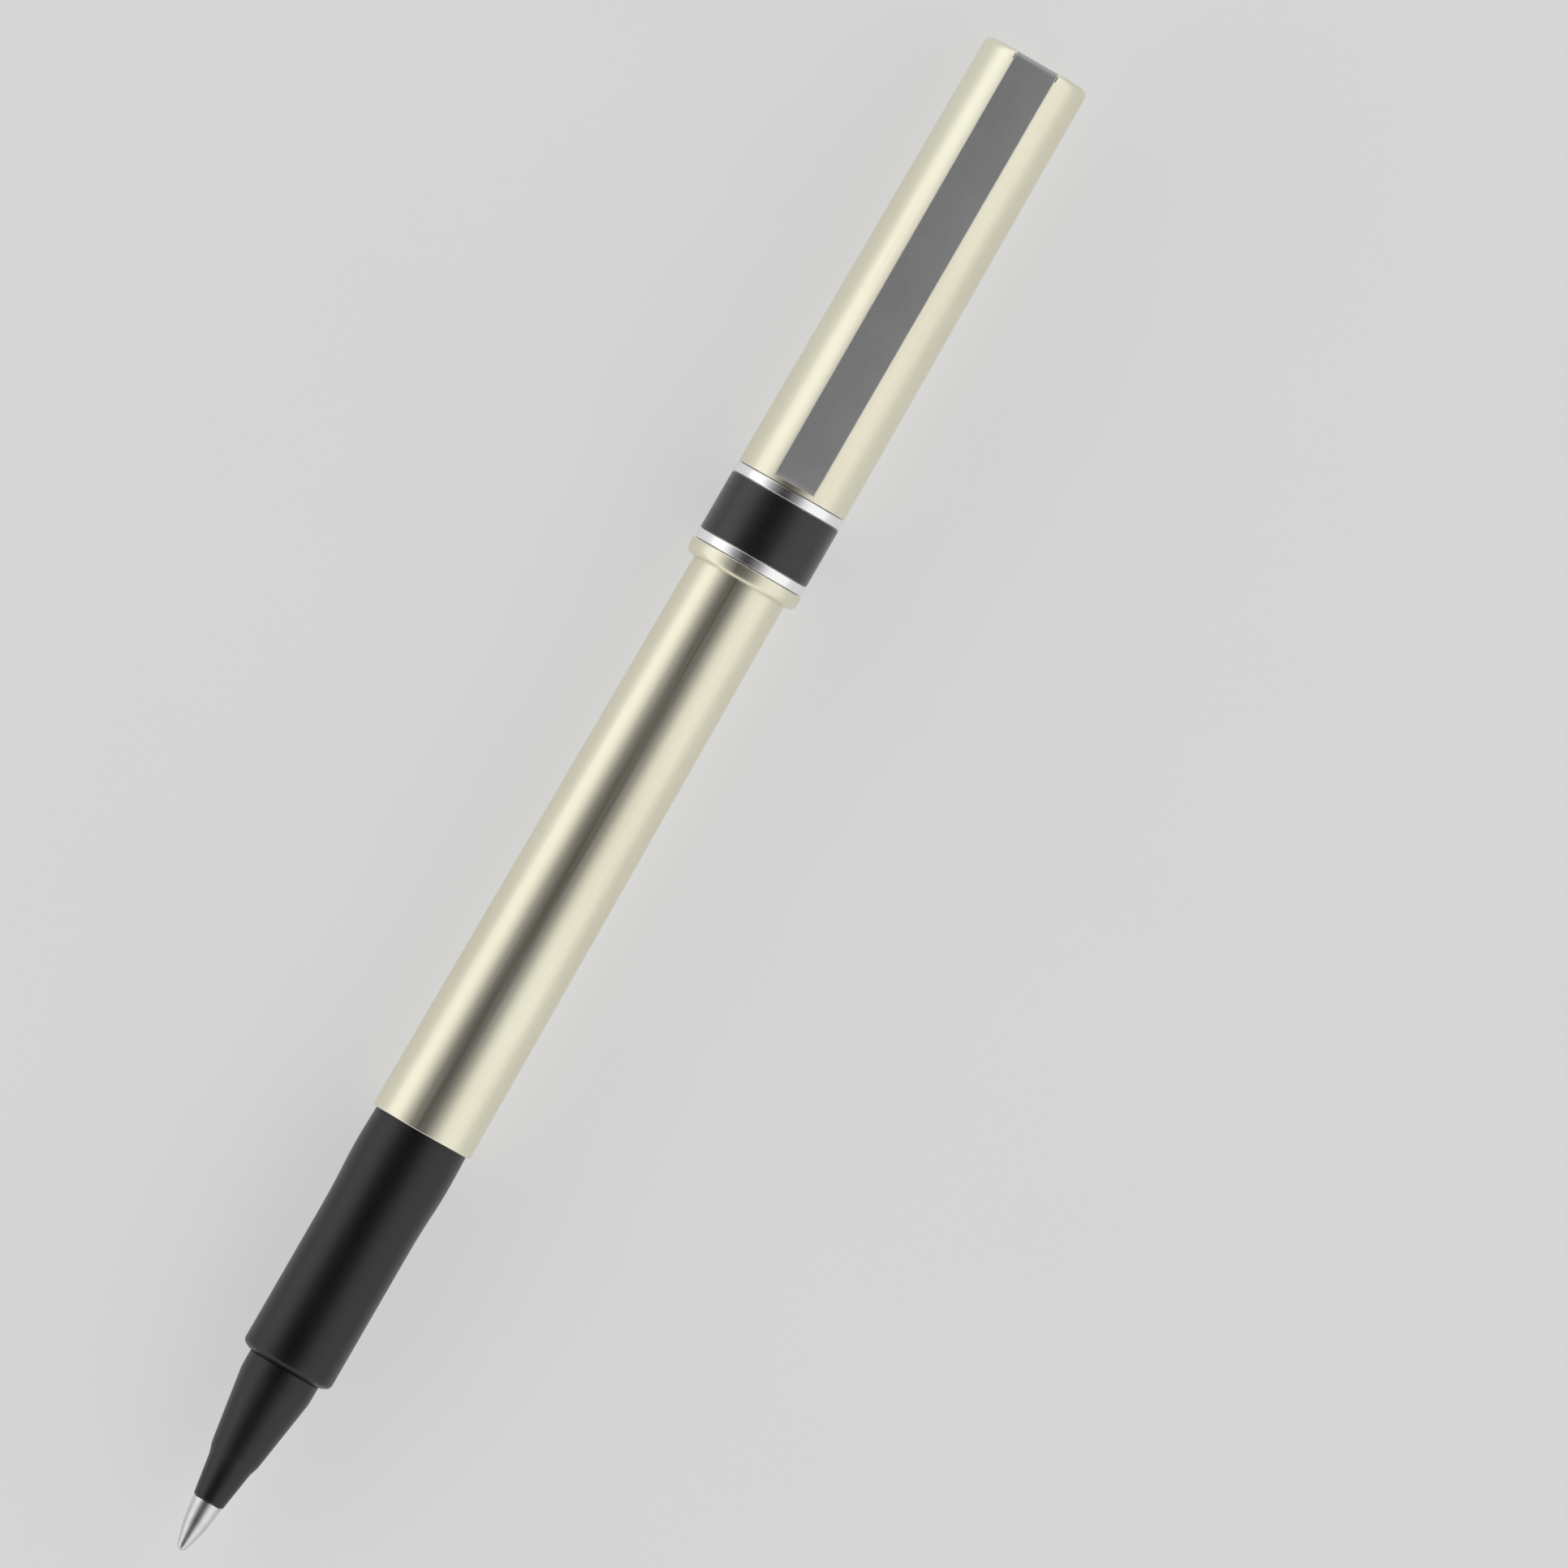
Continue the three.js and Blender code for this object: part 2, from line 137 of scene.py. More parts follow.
AXIS_HEIGHT = (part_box("mouth_ferrule")[0].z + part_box("mouth_ferrule")[1].z) / 2
PEN_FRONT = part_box("tip_ball")[0].x
PEN_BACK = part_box("cap_tube")[1].x
PEN_MIDDLE = (PEN_FRONT + PEN_BACK) / 2
CLIP_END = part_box("clip_root")[1].x
NOTCH_FRONT = CLIP_END - CLIP_THICKNESS - 0.3 * MM
TAB_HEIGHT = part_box("clip_root")[0].z + CLIP_THICKNESS / 2


# ---------------------------------------------------------------- shapes

def span(node):
    """Front, back and largest radius of a node that is turned about the pen's axis."""
    low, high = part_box(node)
    return low.x, high.x, (high.y - low.y) / 2


def curve(start, corner, end, steps):
    """Points of a smooth curve from start to end that leaves and arrives along lines to the corner."""
    shares = [step / steps for step in range(steps + 1)]
    return [(1 - t) ** 2 * start + 2 * t * (1 - t) * corner + t ** 2 * end for t in shares]


def rounded(corners):
    """The outline of (x, radius, bend) corners, as points with their wear.

    A bend is a smooth curve of about that radius, as far as there is room for it, with a support line on
    both sides. Wear is at most 1, on tight corners that stick out. It is less on slight turns and wide
    bends, and 0 elsewhere.
    """
    spots = [Vector(corner[:2]) for corner in corners]
    bends = [corner[2] if len(corner) > 2 else EDGE for corner in corners]
    bends = [bend if spot.y > 0 else 0 for bend, spot in zip(bends, spots)]
    count = len(spots)
    area = sum(spots[i - 1].x * spots[i].y - spots[i - 1].y * spots[i].x for i in range(count))
    points = []
    for i, here in enumerate(spots):
        if bends[i] == 0:
            points.append((here, 0.0))
            continue
        before = spots[i - 1] - here
        after = spots[(i + 1) % count] - here
        reaches = []
        for line, neighbour in ((before, bends[i - 1]), (after, bends[(i + 1) % count])):
            own, other = min(bends[i], line.length), min(neighbour, line.length)
            room = ROOM_SHARE * line.length * own / (own + other)
            reaches.append(min(bends[i] / math.tan(before.angle(after) / 2), room))
        sticks_out = (before.y * after.x - before.x * after.y) * area > 0
        turn = 180 - math.degrees(before.angle(after))
        grown = min(max((turn - WEAR_START) / WEAR_GROWTH, 0.0), SOFT / bends[i], 1.0)
        worn = grown if sticks_out else 0.0
        start = here + before.normalized() * reaches[0]
        end = here + after.normalized() * reaches[1]
        steps = TIGHT_STEPS if bends[i] < SOFT else WIDE_STEPS
        points.append((start + before.normalized() * min(SUPPORT, SUPPORT_SHARE * before.length), 0.0))
        points += [(point, worn) for point in curve(start, here, end, steps)]
        points.append((end + after.normalized() * min(SUPPORT, SUPPORT_SHARE * after.length), 0.0))
    return points


def mesh_object(name, verts, faces, wear):
    """A smooth-shaded closed mesh with its faces turned outwards and its wear kept on its points."""
    mesh = bpy.data.meshes.new(name)
    mesh.from_pydata(verts, [], faces)
    work = bmesh.new()
    work.from_mesh(mesh)
    bmesh.ops.recalc_face_normals(work, faces=work.faces)
    work.to_mesh(mesh)
    work.free()
    mesh.attributes.new("wear", "FLOAT", "POINT").data.foreach_set("value", wear)
    mesh.shade_smooth()
    mesh.set_sharp_from_angle(angle=math.radians(SHARP_ANGLE))
    piece = bpy.data.objects.new(name, mesh)
    bpy.context.collection.objects.link(piece)
    return piece


def turned(name, corners, sides=SIDES):
    """A solid turned about the pen's axis from a closed loop of corners, or from axis to axis."""
    verts = []
    wear = []
    rings = []
    for (x, radius), worn in rounded(corners):
        count = sides if radius > 0 else 1
        rings.append([len(verts) + i for i in range(count)])
        for i in range(count):
            angle = 2 * math.pi * i / sides
            verts.append((x, radius * math.sin(angle), AXIS_HEIGHT + radius * math.cos(angle)))
            wear.append(worn)
    pairs = list(zip(rings, rings[1:]))
    if corners[0][1] > 0:
        pairs.append((rings[-1], rings[0]))
    faces = []
    for a, b in pairs:
        for i in range(sides):
            j = (i + 1) % sides
            loop = [a[i % len(a)], a[j % len(a)], b[j % len(b)], b[i % len(b)]]
            face = list(dict.fromkeys(loop))
            if len(face) > 2:
                faces.append(face)
    return mesh_object(name, verts, faces, wear)


def cut_box(piece, low, high):
    """Cuts a box-shaped slot out of a piece."""
    bpy.ops.mesh.primitive_cube_add(size=1, location=(Vector(low) + Vector(high)) / 2)
    cutter = bpy.context.object
    cutter.scale = Vector(high) - Vector(low)
    change = piece.modifiers.new("slot", "BOOLEAN")
    change.operation = "DIFFERENCE"
    change.solver = "EXACT"
    change.object = cutter
    bpy.context.view_layer.update()
    result = bpy.data.meshes.new_from_object(piece.evaluated_get(bpy.context.evaluated_depsgraph_get()))
    piece.modifiers.clear()
    piece.data = result
    result.shade_smooth()
    result.set_sharp_from_angle(angle=math.radians(CUT_SHARP_ANGLE))
    bpy.data.objects.remove(cutter)


# ---------------------------------------------------------------- materials

def fill_ramp(ramp, stops):
    """Lays (place, colour) stops over a colour ramp."""
    first, last = ramp.elements
    first.position, first.color = stops[0][0], (*stops[0][1], 1)
    last.position, last.color = stops[-1][0], (*stops[-1][1], 1)
    for place, colour in stops[1:-1]:
        ramp.elements.new(place).color = (*colour, 1)


class Paint:
    """A material being built: its shader and short ways to add the nodes that vary over the surface."""

    def __init__(self, name, metallic=0.0, **constants):
        self.material = bpy.data.materials.new(name)
        self.material.use_nodes = True
        self.nodes = self.material.node_tree.nodes
        self.link = self.material.node_tree.links.new
        self.shader = self.nodes["Principled BSDF"]
        self.shader.inputs["Metallic"].default_value = metallic
        for socket, value in constants.items():
            self.shader.inputs[socket.replace("_", " ")].default_value = value
        self.place = self.nodes.new("ShaderNodeTexCoord").outputs["Object"]

    def noise(self, scale, stretch=(1, 1, 1), detail=4.0, offset=0.0):
        """Noise with a pattern of 1/scale metres, drawn out where stretch is small."""
        mapping = self.nodes.new("ShaderNodeMapping")
        mapping.inputs["Scale"].default_value = stretch
        mapping.inputs["Location"].default_value = (offset, offset, offset)
        texture = self.nodes.new("ShaderNodeTexNoise")
        texture.inputs["Scale"].default_value = scale
        texture.inputs["Detail"].default_value = detail
        self.link(self.place, mapping.inputs["Vector"])
        self.link(mapping.outputs["Vector"], texture.inputs["Vector"])
        return texture.outputs["Fac"]

    def wear(self, scale=700):
        """The wear of the mesh's edges, broken up into patches."""
        marks = self.nodes.new("ShaderNodeAttribute")
        marks.attribute_name = "wear"
        product = self.nodes.new("ShaderNodeMath")
        product.operation = "MULTIPLY"
        self.link(marks.outputs["Fac"], product.inputs[0])
        self.link(self.remap(self.noise(scale, offset=7), 0.2, 1.0), product.inputs[1])
        return product.outputs["Value"]

    def ramp(self, value, low, high):
        """The low colour where a noise is low, turning into the high colour where it is high."""
        ramp = self.nodes.new("ShaderNodeValToRGB")
        fill_ramp(ramp.color_ramp, [(NOISE_LOW, low), (NOISE_HIGH, high)])
        self.link(value, ramp.inputs["Fac"])
        return ramp.outputs["Color"]

    def remap(self, value, low, high):
        """Numbers from low to high, as a noise goes from low to high."""
        spread = self.nodes.new("ShaderNodeMapRange")
        spread.inputs["From Min"].default_value = NOISE_LOW
        spread.inputs["From Max"].default_value = NOISE_HIGH
        spread.inputs["To Min"].default_value = low
        spread.inputs["To Max"].default_value = high
        self.link(value, spread.inputs["Value"])
        return spread.outputs["Result"]

    def mix(self, factor, first, second):
        """Two colour outputs blended by a factor."""
        node = self.nodes.new("ShaderNodeMix")
        node.data_type = "RGBA"
        factor_socket, first_socket, second_socket = (node.inputs[i] for i in (0, 6, 7))
        self.link(factor, factor_socket)
        self.link(first, first_socket)
        self.link(second, second_socket)
        return node.outputs[2]

    def colour(self, output):
        """Links an output to the base colour."""
        self.link(output, self.shader.inputs["Base Color"])

    def roughness(self, output):
        """Links an output to the roughness."""
        self.link(output, self.shader.inputs["Roughness"])

    def bump(self, height, distance):
        """Shades the surface as if the height, times the distance, raised it."""
        node = self.nodes.new("ShaderNodeBump")
        node.inputs["Distance"].default_value = distance
        self.link(height, node.inputs["Height"])
        self.link(node.outputs["Normal"], self.shader.inputs["Normal"])


def champagne_metal():
    """Satin anodised metal, brushed along the pen, a little redder in patches and barer at its edges."""
    paint = Paint("champagne_metal", metallic=1.0)
    patches = paint.noise(130, stretch=(0.35, 1, 1))
    tint = paint.ramp(patches, (0.83, 0.79, 0.62), (0.87, 0.85, 0.685))
    bare = paint.ramp(patches, (0.85, 0.83, 0.72), (0.9, 0.89, 0.8))
    paint.colour(paint.mix(paint.wear(), tint, bare))
    brushing = paint.noise(3000, stretch=(0.02, 1, 1), detail=6, offset=3)
    paint.roughness(paint.remap(brushing, 0.31, 0.39))
    paint.bump(brushing, 0.001 * MM)
    return paint.material


def trim_chrome():
    """Polished plating with faint hairlines round the pen."""
    paint = Paint("trim_chrome", metallic=1.0)
    haze = paint.noise(400)
    paint.colour(paint.ramp(haze, (0.93, 0.93, 0.94), (0.97, 0.97, 0.98)))
    hairlines = paint.noise(2500, stretch=(1, 0.03, 0.03), detail=5)
    paint.roughness(paint.remap(hairlines, 0.2, 0.3))
    paint.bump(hairlines, 0.0003 * MM)
    return paint.material


def point_steel():
    """Turned stainless steel: fine tool marks run round the point."""
    paint = Paint("point_steel", metallic=1.0)
    tint = paint.noise(900)
    paint.colour(paint.ramp(tint, (0.66, 0.66, 0.67), (0.76, 0.76, 0.77)))
    tool_marks = paint.noise(9000, stretch=(1, 0.02, 0.02), detail=3)
    paint.roughness(paint.remap(tool_marks, 0.28, 0.4))
    paint.bump(tool_marks, 0.001 * MM)
    return paint.material


def clip_steel():
    """Dark grey spring steel with a dull blasted finish, polished at its edges and at its lip."""
    paint = Paint("clip_steel", metallic=0.85)
    patches = paint.noise(220)
    blasted = paint.ramp(patches, (0.49, 0.49, 0.485), (0.53, 0.53, 0.525))
    polished = paint.ramp(patches, (0.66, 0.66, 0.66), (0.74, 0.74, 0.74))
    paint.colour(paint.mix(paint.wear(900), blasted, polished))
    grain = paint.noise(9000, detail=3)
    paint.roughness(paint.remap(grain, 0.5, 0.62))
    paint.bump(grain, 0.004 * MM)
    return paint.material


def band_black():
    """Glossy black lacquer with fine dust and rub marks."""
    paint = Paint("black_band", Coat_Weight=0.25, Coat_Roughness=0.12)
    depth = paint.noise(500)
    paint.colour(paint.ramp(depth, (0.01, 0.011, 0.011), (0.015, 0.016, 0.016)))
    rubs = paint.noise(1800, stretch=(1, 0.06, 0.06), detail=6)
    paint.roughness(paint.remap(rubs, 0.3, 0.4))
    paint.bump(rubs, 0.0008 * MM)
    return paint.material


def black_plastic():
    """Satin black moulding, with a fine mould texture and slight greying in handled places."""
    paint = Paint("black_plastic")
    handled = paint.noise(160, stretch=(0.5, 1, 1))
    skin = paint.ramp(handled, (0.006, 0.006, 0.006), (0.011, 0.011, 0.011))
    rubbed = paint.ramp(handled, (0.02, 0.02, 0.02), (0.03, 0.03, 0.03))
    paint.colour(paint.mix(paint.wear(), skin, rubbed))
    texture = paint.noise(5200, detail=3)
    paint.roughness(paint.remap(handled, 0.32, 0.4))
    paint.bump(texture, 0.004 * MM)
    return paint.material


def tank_plastic():
    """Translucent tank wall with flow marks along the pen."""
    paint = Paint("tank_plastic", Transmission_Weight=0.85, IOR=1.5)
    flow = paint.noise(300, stretch=(0.1, 1, 1))
    paint.colour(paint.ramp(flow, (0.78, 0.81, 0.82), (0.9, 0.92, 0.92)))
    paint.roughness(paint.remap(flow, 0.12, 0.25))
    paint.bump(flow, 0.01 * MM)
    return paint.material


def white_plastic():
    """Natural white moulding, slightly waxy."""
    paint = Paint("white_plastic", Subsurface_Weight=0.1, Subsurface_Scale=0.5 * MM)
    tint = paint.noise(350)
    paint.colour(paint.ramp(tint, (0.74, 0.73, 0.69), (0.82, 0.81, 0.78)))
    texture = paint.noise(4000)
    paint.roughness(paint.remap(tint, 0.4, 0.55))
    paint.bump(texture, 0.003 * MM)
    return paint.material


def fibre():
    """Bonded fibre, stained by ink: strands run along the rod."""
    paint = Paint("fibre")
    strands = paint.noise(14000, stretch=(0.02, 1, 1), detail=5)
    paint.colour(paint.ramp(strands, (0.12, 0.13, 0.16), (0.5, 0.48, 0.42)))
    paint.roughness(paint.remap(strands, 0.7, 0.95))
    paint.bump(strands, 0.02 * MM)
    return paint.material


def ink():
    """Black liquid ink."""
    paint = Paint("ink")
    swirl = paint.noise(250)
    paint.colour(paint.ramp(swirl, (0.004, 0.005, 0.009), (0.009, 0.01, 0.018)))
    paint.roughness(paint.remap(swirl, 0.03, 0.08))
    return paint.material


MATERIALS = {
    "champagne_metal": champagne_metal(),
    "trim_chrome": trim_chrome(),
    "point_steel": point_steel(),
    "clip_steel": clip_steel(),
    "black_band": band_black(),
    "black_plastic": black_plastic(),
    "tank_plastic": tank_plastic(),
    "white_plastic": white_plastic(),
    "fibre": fibre(),
    "ink": ink(),
}
SLOTS = {part["node"]: part["material_slot"] for part in frame["record"]["subparts"]}
BODIES = {
    node: body
    for body, nodes in frame["record"]["behaviour"]["bodies"].items()
    for node in nodes
}


def dress(piece, *nodes):
    """Gives a piece the material and slot of the nodes that it stands for."""
    name = SLOTS[nodes[0]]
    piece.data.materials.clear()
    piece.data.materials.append(MATERIALS[name])
    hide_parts(*nodes)


def place(node, corners, sides=SIDES):
    """A turned piece that stands for one node and rides on its body."""
    piece = turned(f"{node}_surface", corners, sides)
    dress(piece, node)
    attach(piece, BODIES[node])
    return piece


# ---------------------------------------------------------------- tip and feed

def make_ball():
    """The writing ball, as half a circle turned about the axis."""
    front, back, radius = span("tip_ball")
    middle = (front + back) / 2
    steps = 32
    corners = [(front, 0)]
    for i in range(1, steps):
        angle = math.pi * i / steps
        corners.append((middle - radius * math.cos(angle), radius * math.sin(angle), 0))
    corners.append((back, 0))
    place("tip_ball", corners)


def make_point():
    """A rounded cone, with the socket rolled round the ball in front and a bored shank behind."""
    front, back, radius = span("tip_point")
    ball_front, ball_back, ball_radius = span("tip_ball")
    ball_middle = (ball_front + ball_back) / 2
    socket_radius = ball_radius + SOCKET_GAP
    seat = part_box("nose_cone")[0].x - SEAT
    relay_bore = span("tip_relay")[2] + FIT
    rod_bore = span("feed_rod")[2] + FIT
    rod_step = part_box("feed_rod")[0].x - SEAT
    socket_back = math.radians(45)
    socket_mouth = math.radians(113)
    lip_radius = 0.39 * MM
    # Distance behind the front, radius and bend, in mm
    cone = [(0.22, 0.5, 0.6), (0.7, 0.65, 3), (1.5, 0.88, 5), (2.5, 1.16, 8)]
    back_bend = 0.1 * MM
    steps = 8
    socket = []
    for i in range(steps + 1):
        angle = socket_back + (socket_mouth - socket_back) * i / steps
        x = ball_middle + socket_radius * math.cos(angle)
        socket.append((x, socket_radius * math.sin(angle), 0))
    corners = [
        (back, SHANK_RADIUS),
        (back, rod_bore, SHARP),
        (rod_step, rod_bore, SOFT),
        (rod_step, relay_bore, SHARP),
        (ball_back, relay_bore, 0),
        *socket,
        (front, lip_radius, SHARP),
        *((front + behind * MM, girth * MM, bend * MM) for behind, girth, bend in cone),
        (seat, radius, back_bend),
        (seat, SHANK_RADIUS, SHARP),
    ]
    place("tip_point", corners, SMALL_SIDES)


def make_feed():
    """The relay and the feed rod, with ends rounded off as cut fibre is."""
    end_share = 0.25
    for node in ("tip_relay", "feed_rod"):
        front, back, radius = span(node)
        end = end_share * radius
        place(node, [(front, 0), (front, radius, end), (back, radius, end), (back, 0)], SMALL_SIDES)


def make_nose_cone():
    """A slim front with a small step, a long cone, and a collar that meets the grip."""
    front, back, collar = span("nose_cone")
    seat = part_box("tip_point")[1].x + SEAT
    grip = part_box("grip_section")[0].x - SEAT
    spigot = span("collector")[2]
    bore = SHANK_RADIUS + FIT
    step_front = front + 4 * MM
    step_back = front + 4.9 * MM
    cone_back = front + 12.3 * MM
    cone_radius = collar - 0.02 * MM
    cavity_tip = front + 11 * MM
    cavity_full = front + 13 * MM
    nose_bend = 0.12 * MM
    step_bend = 3 * MM
    cone_bend = 6 * MM
    corners = [
        (front, bore, SHARP),
        (front, NOSE_RADIUS, nose_bend),
        (step_front, STEP_FRONT_RADIUS, step_bend),
        (step_back, STEP_BACK_RADIUS, step_bend),
        (cone_back, cone_radius, cone_bend),
        (grip, collar),
        (grip, spigot),
        (back, spigot, SOFT),
        (back, NOSE_CAVITY_RADIUS),
        (cavity_full, NOSE_CAVITY_RADIUS),
        (cavity_tip, ROD_BORE),
        (seat, ROD_BORE, SHARP),
        (seat, bore, SHARP),
    ]
    place("nose_cone", corners)


def make_collector():
    """A stack of thin fins on a core, with a bore for the feed rod."""
    front, back, radius = span("collector")
    first = front + FIN_SETBACK
    count = int((back - first) / FIN_PITCH)
    corners = [(back, ROD_BORE), (front, ROD_BORE), (front, FIN_ROOT)]
    for i in range(count):
        start = first + i * FIN_PITCH
        end = start + FIN_WIDTH
        corners += [(start, FIN_ROOT), (start, radius), (end, radius), (end, FIN_ROOT)]
    corners.append((back, FIN_ROOT))
    place("collector", corners, SMALL_SIDES)


def make_feed_holder():
    """A bored plug in the end of the grip, with a wider flange behind it."""
    front, back, radius = span("feed_holder")
    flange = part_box("grip_section")[1].x + SEAT
    plug = span("collector")[2]
    corners = [
        (back, ROD_BORE),
        (front, ROD_BORE),
        (front, plug, SOFT),
        (flange, plug),
        (flange, radius),
        (back, radius, SOFT),
    ]
    place("feed_holder", corners)


# ---------------------------------------------------------------- grip, barrel and tank

def make_grip():
    """Straight in front, with a soft swell just before the barrel, and a spigot behind."""
    front, back, swell = span("grip_section")
    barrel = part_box("barrel_tube")[0].x
    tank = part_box("ink_tank")[0].x - SEAT
    shoulder = front + 0.4 * MM
    shoulder_bend = 0.7 * MM
    swell_start = barrel - 8.5 * MM
    swell_top = barrel - 4.1 * MM
    lost_to_bend = 0.04 * MM
    back_bend = 10 * MM
    corners = [
        (front, GRIP_BORE),
        (front, GRIP_FACE_RADIUS, SOFT),
        (shoulder, GRIP_RADIUS, shoulder_bend),
        (swell_start, GRIP_RADIUS, SWEEP),
        (swell_top, swell + lost_to_bend, SWEEP),
        (barrel, GRIP_BACK_RADIUS, back_bend),
        (tank, GRIP_BACK_RADIUS),
        (tank, SPIGOT_RADIUS),
        (back, SPIGOT_RADIUS, SOFT),
        (back, GRIP_BORE),
    ]
    place("grip_section", corners)


def barrel_radius(x):
    """Radius of the barrel's outside, which narrows evenly from the grip to the tail."""
    front, back, radius = span("barrel_tube")
    share = (x - front) / (back - front)
    return radius + (span("tail_plug")[2] - radius) * share


def make_barrel():
    """A tapered tube, with a straight bore over the end of the grip and a tapered one round the tank."""
    front, back, radius = span("barrel_tube")
    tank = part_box("ink_tank")[0].x
    bore = radius - BARREL_WALL + SEAT
    back_bend = 0.06 * MM
    corners = [
        (back, barrel_radius(back) - BARREL_WALL, SHARP),
        (tank, bore, SHARP),
        (front, bore),
        (front, radius, SOFT),
        (back, barrel_radius(back), back_bend),
    ]
    place("barrel_tube", corners)


def make_tank():
    """A thin tank that fills the barrel, closed at the back."""
    front, back, radius = span("ink_tank")
    floor = back - FLOOR_WALL
    shrink = barrel_radius(front) - radius
    floor_bend = 0.4 * MM
    corners = [
        (floor, 0),
        (floor, barrel_radius(floor) - shrink - TANK_WALL, floor_bend),
        (front, radius - TANK_WALL),
        (front, radius),
        (back, barrel_radius(back) - shrink, floor_bend),
        (back, 0),
    ]
    place("ink_tank", corners)


def make_ink():
    """Ink with a pocket for the end of the feed rod and a rounded surface at the back."""
    front, back, radius = span("ink_charge")
    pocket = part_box("feed_rod")[1].x + 0.2 * MM
    shrink = barrel_radius(front) - radius
    surface_bend = 0.6 * MM
    corners = [
        (pocket, 0),
        (pocket, ROD_BORE),
        (front, ROD_BORE),
        (front, radius),
        (back, barrel_radius(back) - shrink, surface_bend),
        (back, 0),
    ]
    place("ink_charge", corners)


def make_tail_plug():
    """A domed plug with a shallow moulding dimple outside and a hollow spigot inside."""
    front, back, radius = span("tail_plug")
    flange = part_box("barrel_tube")[1].x + SEAT
    hollow_back = front + 2 * MM
    dimple = back - 0.25 * MM
    dimple_radius = 0.9 * MM
    dimple_mouth = 1.2 * MM
    dome = 0.7 * MM
    corners = [
        (hollow_back, 0),
        (hollow_back, TAIL_HOLLOW_RADIUS, SOFT),
        (front, TAIL_HOLLOW_RADIUS),
        (front, TAIL_SPIGOT_RADIUS, SOFT),
        (flange, TAIL_SPIGOT_RADIUS),
        (flange, radius),
        (back, radius, dome),
        (back, dimple_mouth),
        (dimple, dimple_radius),
        (dimple, 0),
    ]
    place("tail_plug", corners)


# ---------------------------------------------------------------- cap

def slot_box(front, low, high):
    """Corners of a cut as wide as the clip's slot, from a place on the axis out past the cap's end."""
    return (front, -SLOT_HALF, low), (PEN_BACK + BEYOND, SLOT_HALF, high)


def make_cap_tube():
    """A tapered tube, necked at the mouth, and curled in and notched for the clip at the rim."""
    front, back, radius = span("cap_tube")
    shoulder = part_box("upper_trim_ring")[1].x + SEAT
    bore_start = shoulder + 0.4 * MM
    curl_radius = CAP_RIM_RADIUS - CAP_RIM_CURL
    rim_bend = 0.95 * MM
    inner_bend = 0.3 * MM
    shoulder_bend = 0.1 * MM
    corners = [
        (back, curl_radius),
        (back - CAP_RIM_CURL, curl_radius + CAP_RIM_CURL / 2, inner_bend),
        (bore_start, radius - CAP_WALL),
        (bore_start, NECK_BORE),
        (front, NECK_BORE),
        (front, NECK_RADIUS),
        (shoulder, NECK_RADIUS, SHARP),
        (shoulder, radius, shoulder_bend),
        (back, CAP_RIM_RADIUS, rim_bend),
    ]
    piece = place("cap_tube", corners)
    cut_box(piece, *slot_box(NOTCH_FRONT, AXIS_HEIGHT, AXIS_HEIGHT + radius + BEYOND))


def make_trim():
    """Bright rings with crowned edges, and the black band between them."""
    ring_bend = 0.2 * MM
    band_bend = 0.1 * MM
    trim = (("upper_trim_ring", ring_bend), ("black_band", band_bend), ("lower_trim_ring", ring_bend))
    for node, bend in trim:
        front, back, radius = span(node)
        corners = [
            (back, TRIM_BORE, SHARP),
            (front, TRIM_BORE, SHARP),
            (front, radius, bend),
            (back, radius, bend),
        ]
        place(node, corners)


def make_ferrule():
    """The round lip at the mouth."""
    front, back, radius = span("mouth_ferrule")
    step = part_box("cap_tube")[0].x - SEAT
    lip_bend = 1 * MM
    back_bend = 0.15 * MM
    corners = [
        (back, TRIM_BORE, SHARP),
        (step, TRIM_BORE, SHARP),
        (step, NECK_BORE, SHARP),
        (front, NECK_BORE, EDGE),
        (front, radius, lip_bend),
        (back, radius, back_bend),
    ]
    place("mouth_ferrule", corners)


def make_sleeve():
    """The lining that fits over the barrel's tail."""
    front, back, radius = span("friction_sleeve")
    corners = [
        (back, SLEEVE_BORE, SOFT),
        (front, SLEEVE_BORE, SOFT),
        (front, radius),
        (back, radius),
    ]
    place("friction_sleeve", corners)


def make_inner_cap():
    """A closed chamber with a flared mouth."""
    front, back, radius = span("inner_cap")
    flare = 0.6 * MM
    floor = back - FLOOR_WALL
    floor_bend = 0.5 * MM
    end_bend = 0.3 * MM
    corners = [
        (floor, 0),
        (floor, INNER_CAP_BORE, floor_bend),
        (front + flare, INNER_CAP_BORE, SOFT),
        (front, INNER_CAP_BORE + flare, SOFT),
        (front, radius, SOFT),
        (back, radius, end_bend),
        (back, 0),
    ]
    place("inner_cap", corners)


def make_cap_end():
    """Plug and retainer, slotted for the tab of the clip."""
    room = 0.5 * MM
    slot_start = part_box("clip_retainer")[0].x - BEYOND
    tab_slot = slot_box(slot_start, TAB_HEIGHT - room, TAB_HEIGHT + room)
    leg_slot = slot_box(NOTCH_FRONT, TAB_HEIGHT - room, AXIS_HEIGHT + CAP_RIM_RADIUS + BEYOND)
    for node, slots in (("cap_top_plug", (tab_slot, leg_slot)), ("clip_retainer", (tab_slot,))):
        front, back, radius = span(node)
        piece = place(node, [(front, 0), (front, radius), (back, radius), (back, 0)])
        for low, high in slots:
            cut_box(piece, low, high)


# ---------------------------------------------------------------- clip

